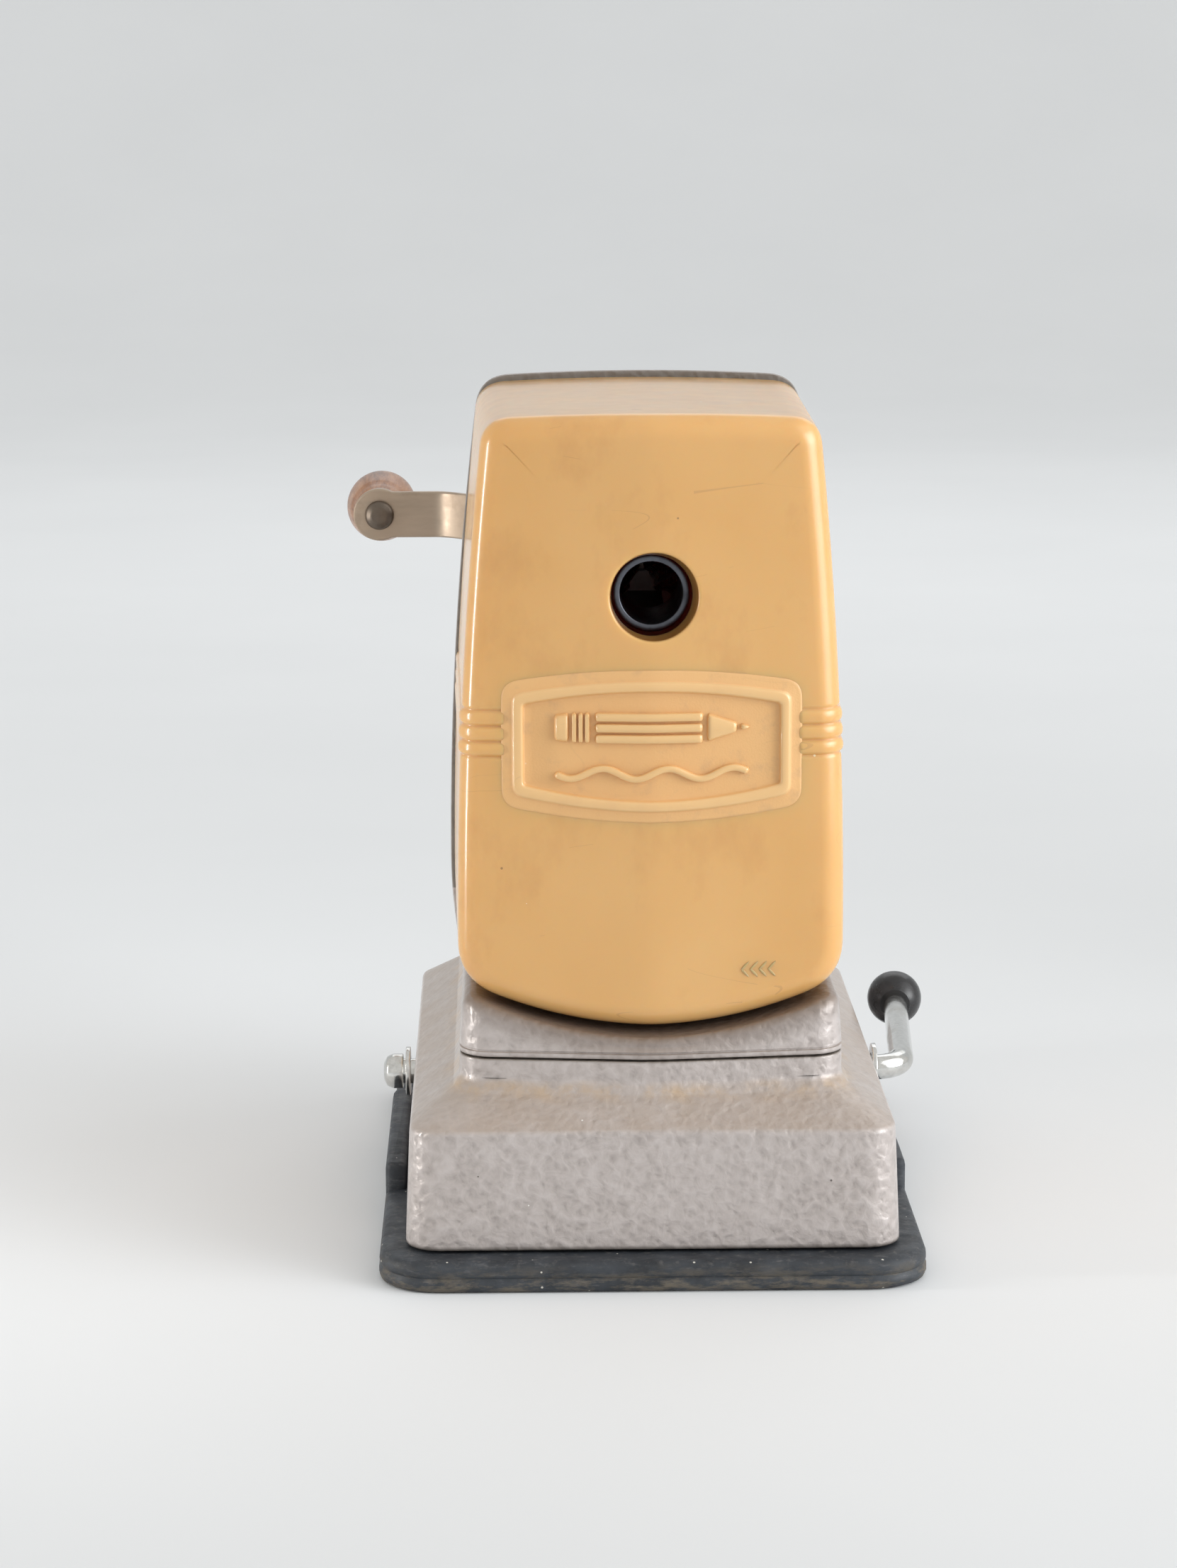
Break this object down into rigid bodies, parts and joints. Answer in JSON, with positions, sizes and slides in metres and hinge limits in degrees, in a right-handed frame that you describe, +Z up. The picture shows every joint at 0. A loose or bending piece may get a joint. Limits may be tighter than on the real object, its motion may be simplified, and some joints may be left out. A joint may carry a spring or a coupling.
{
  "type": "desk pencil sharpener",
  "caption": "Hand-cranked desk pencil sharpener with an amber shavings receptacle on a hammertone casting, and a rubber suction base with a side lever.",
  "frame": {"origin": "middle of the rubber foot's underside, on the desk", "axes": "+Z up, +Y the way the pencil goes in, towards the crank, +X to the right as seen from the pencil's end"},
  "size_m": [0.0882, 0.1287, 0.1157],
  "materials": {
    "axle_cap": "bright plated steel",
    "axle_washer_left": "bright plated steel",
    "axle_washer_right": "bright plated steel",
    "base_casting": "grey hammertone enamel",
    "body_casting": "grey hammertone enamel",
    "body_screw_1": "plain steel",
    "body_screw_2": "plain steel",
    "body_screw_3": "plain steel",
    "body_screw_4": "plain steel",
    "cam_set_screw": "blackened steel",
    "crank_arm": "plain steel",
    "crank_knob": "red-brown varnished wood",
    "crank_screw": "plain steel",
    "crank_shaft": "bright plated steel",
    "cutter_axle_left": "bright plated steel",
    "cutter_axle_right": "bright plated steel",
    "cutter_carrier": "plain steel",
    "cutter_left": "plain steel",
    "cutter_right": "plain steel",
    "foot_retainer": "plain steel",
    "knob_rivet": "plain steel",
    "knob_washer": "plain steel",
    "lever_knob": "glossy black plastic",
    "lever_rod": "bright plated steel",
    "lift_cam": "plain steel",
    "lift_nut": "plain steel",
    "lift_plate": "plain steel",
    "lift_stirrup": "plain steel",
    "lock_washer": "plain steel",
    "pencil_tube": "blackened steel",
    "pinion_left": "plain steel",
    "pinion_right": "plain steel",
    "receptacle_catch": "plain steel",
    "retainer_screw_1": "plain steel",
    "retainer_screw_2": "plain steel",
    "retainer_screw_3": "plain steel",
    "retainer_screw_4": "plain steel",
    "ring_gear": "plain steel",
    "ring_gear_screw_1": "plain steel",
    "ring_gear_screw_2": "plain steel",
    "ring_gear_screw_3": "plain steel",
    "shaft_bush": "oiled bronze",
    "shavings_receptacle": "glossy amber plastic",
    "suction_diaphragm": "black rubber, worn matt",
    "suction_foot": "black rubber, worn matt",
    "thrust_washer": "plain steel"
  },
  "bodies": {
    "frame": {"suction_foot": "suction_foot", "base_casting": "base_casting", "body_casting": "body_casting", "foot_retainer": "foot_retainer", "retainer_screw_1": "retainer_screw_1", "retainer_screw_2": "retainer_screw_2", "retainer_screw_3": "retainer_screw_3", "retainer_screw_4": "retainer_screw_4", "body_screw_1": "body_screw_1", "body_screw_2": "body_screw_2", "body_screw_3": "body_screw_3", "body_screw_4": "body_screw_4", "receptacle_catch": "receptacle_catch", "ring_gear": "ring_gear", "ring_gear_screw_1": "ring_gear_screw_1", "ring_gear_screw_2": "ring_gear_screw_2", "ring_gear_screw_3": "ring_gear_screw_3", "shaft_bush": "shaft_bush", "axle_washer_left": "axle_washer_left", "axle_washer_right": "axle_washer_right"},
    "crank": {"cutter_carrier": "cutter_carrier", "pencil_tube": "pencil_tube", "crank_shaft": "crank_shaft", "thrust_washer": "thrust_washer", "lock_washer": "lock_washer", "crank_screw": "crank_screw", "crank_arm": "crank_arm", "knob_rivet": "knob_rivet", "knob_washer": "knob_washer", "cutter_axle_left": "cutter_axle_left", "cutter_axle_right": "cutter_axle_right"},
    "knob": {"crank_knob": "crank_knob"},
    "left_cutter": {"cutter_left": "cutter_left", "pinion_left": "pinion_left"},
    "right_cutter": {"cutter_right": "cutter_right", "pinion_right": "pinion_right"},
    "receptacle": {"shavings_receptacle": "shavings_receptacle"},
    "lever": {"lever_rod": "lever_rod", "lever_knob": "lever_knob", "axle_cap": "axle_cap", "lift_cam": "lift_cam", "cam_set_screw": "cam_set_screw"},
    "lift": {"lift_stirrup": "lift_stirrup", "lift_nut": "lift_nut", "lift_plate": "lift_plate", "suction_diaphragm": "suction_diaphragm"}
  },
  "joints": [
    {"name": "crank_turn", "type": "hinge", "parent": "frame", "child": "crank", "pos_m": [0, 0.0455, 0.0906], "axis": [0, 1, 0], "continuous": true},
    {"name": "knob_spin", "type": "hinge", "parent": "crank", "child": "knob", "pos_m": [-0.0385, 0.0558, 0.0906], "axis": [0, 1, 0], "continuous": true},
    {"name": "left_cutter_spin", "type": "hinge", "parent": "crank", "child": "left_cutter", "pos_m": [-0.00704, 0.00246, 0.0906], "axis": [0.1908, 0.9816, 0], "continuous": true},
    {"name": "right_cutter_spin", "type": "hinge", "parent": "crank", "child": "right_cutter", "pos_m": [0.00704, 0.00246, 0.0906], "axis": [-0.1908, 0.9816, 0], "continuous": true},
    {"name": "receptacle_pull", "type": "slide", "parent": "frame", "child": "receptacle", "axis": [0, -1, 0], "range_m": [0, 0.075]},
    {"name": "lever_turn", "type": "hinge", "parent": "frame", "child": "lever", "pos_m": [0, 0.002, 0.016], "axis": [1, 0, 0], "range_deg": [0, 130]},
    {"name": "suction_lift", "type": "slide", "parent": "frame", "child": "lift", "axis": [0, 0, 1], "range_m": [0, 0.002]}
  ],
  "couplings": [
    {"joint": "left_cutter_spin", "follows": "crank_turn", "ratio": -2.1667},
    {"joint": "right_cutter_spin", "follows": "crank_turn", "ratio": -2.1667},
    {"joint": "lever_turn", "follows": "suction_lift", "rad_per_m": 1134.5}
  ]
}
